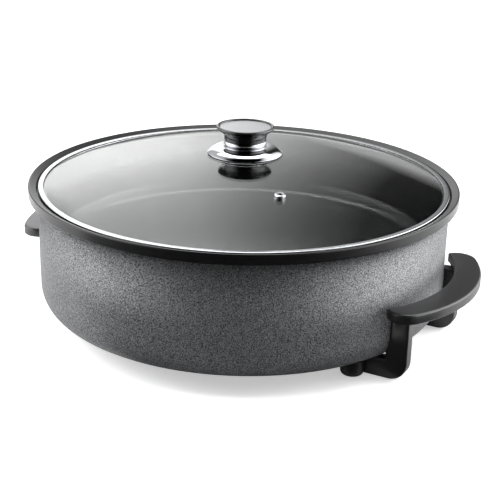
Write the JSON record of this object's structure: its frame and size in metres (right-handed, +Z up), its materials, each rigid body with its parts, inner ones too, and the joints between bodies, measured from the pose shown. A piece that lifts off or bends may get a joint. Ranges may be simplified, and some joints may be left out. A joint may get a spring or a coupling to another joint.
{
  "type": "electric paella pan",
  "caption": "Round electric paella pan in a hammered casing on crescent handles that serve as feet, with a lift-off domed glass lid, steam vent and flared metal knob.",
  "frame": {"origin": "on the counter under the middle of the pan", "axes": "+Z up, +X through the two handles towards the handle without the inlet"},
  "size_m": [0.4839, 0.422, 0.1945],
  "materials": {
    "coated_aluminium": "satin black coat on cast aluminium",
    "hammered_steel": "grey hammered-finish paint",
    "zinc_steel": "zinc-plated",
    "plain_aluminium": "as rolled",
    "element_steel": "oxidised sheath",
    "pin_brass": "plain",
    "steatite": "unglazed steatite ceramic",
    "bright_steel": "bright rolled",
    "bakelite": "satin moulded bakelite",
    "lid_glass": "polished tempered",
    "knob_chrome": "polished",
    "brushed_cap": "circular brushed",
    "silicone": "soft pale silicone"
  },
  "bodies": {
    "pan": {"inner_pan": "coated_aluminium", "outer_casing": "hammered_steel", "bottom_cover": "zinc_steel", "cover_screws": "zinc_steel", "spacer_posts": "zinc_steel", "casing_screws": "zinc_steel", "heat_plate": "plain_aluminium", "heating_element": "element_steel", "element_clips": "zinc_steel", "clip_screws": "zinc_steel", "heat_shield": "plain_aluminium", "contact_pins": "pin_brass", "pin_insulators": "steatite", "sensor_sleeve": "bright_steel", "sensor_block": "plain_aluminium", "block_screws": "zinc_steel", "earth_strap": "zinc_steel", "earth_screw": "zinc_steel", "inlet_socket": "bakelite", "inlet_screws": "zinc_steel", "right_handle": "bakelite", "left_handle": "bakelite", "foot_screws": "zinc_steel", "foot_nuts": "zinc_steel", "handle_wall_screws": "zinc_steel"},
    "lid": {"lid_glass": "lid_glass", "lid_band": "bright_steel", "steam_vent": "bright_steel", "knob_shell": "knob_chrome", "knob_core": "bakelite", "knob_nut": "pin_brass", "knob_cap": "brushed_cap", "knob_skirt": "knob_chrome", "knob_spacer": "bakelite", "upper_gasket": "silicone", "lower_gasket": "silicone", "knob_washer": "bright_steel", "knob_screw": "zinc_steel"}
  },
  "joints": [
    {"name": "lid_lift", "type": "slide", "parent": "pan", "child": "lid", "axis": [0, 0, 1], "range_m": [0, 0.12]}
  ]
}
